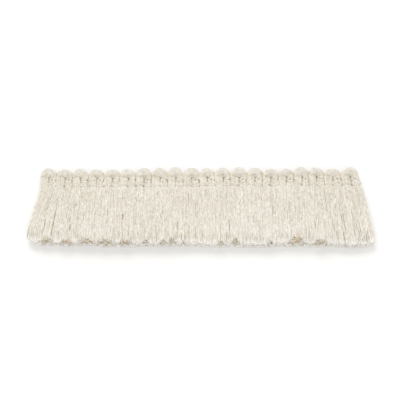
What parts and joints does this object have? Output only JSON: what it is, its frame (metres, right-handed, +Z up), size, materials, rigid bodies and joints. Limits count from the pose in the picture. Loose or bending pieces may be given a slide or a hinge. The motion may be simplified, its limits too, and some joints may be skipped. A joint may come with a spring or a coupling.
{
  "type": "ruche trim",
  "caption": "Short cut length of thick ivory brush fringe with a looped heading, lying flat, for edging cushions, curtains and upholstery.",
  "frame": {"origin": "middle of the length and width of the trim as it lies, on the surface under it", "axes": "+X along the trim, +Y across it towards the looped edge, +Z up"},
  "size_m": [0.1762, 0.0434, 0.0072],
  "materials": {
    "yarn": "soft spun ivory viscose and cotton yarn with a slight sheen",
    "binding": "fine twisted ivory thread, slightly darker"
  },
  "bodies": {
    "root": {"loop_01": "yarn", "loop_02": "yarn", "loop_03": "yarn", "loop_04": "yarn", "loop_05": "yarn", "loop_06": "yarn", "loop_07": "yarn", "loop_08": "yarn", "loop_09": "yarn", "loop_10": "yarn", "loop_11": "yarn", "loop_12": "yarn", "loop_13": "yarn", "loop_14": "yarn", "loop_15": "yarn", "loop_16": "yarn", "loop_17": "yarn", "loop_18": "yarn", "loop_19": "yarn", "loop_20": "yarn", "binding_1": "binding", "binding_2": "binding", "binding_3": "binding"}
  },
  "joints": []
}
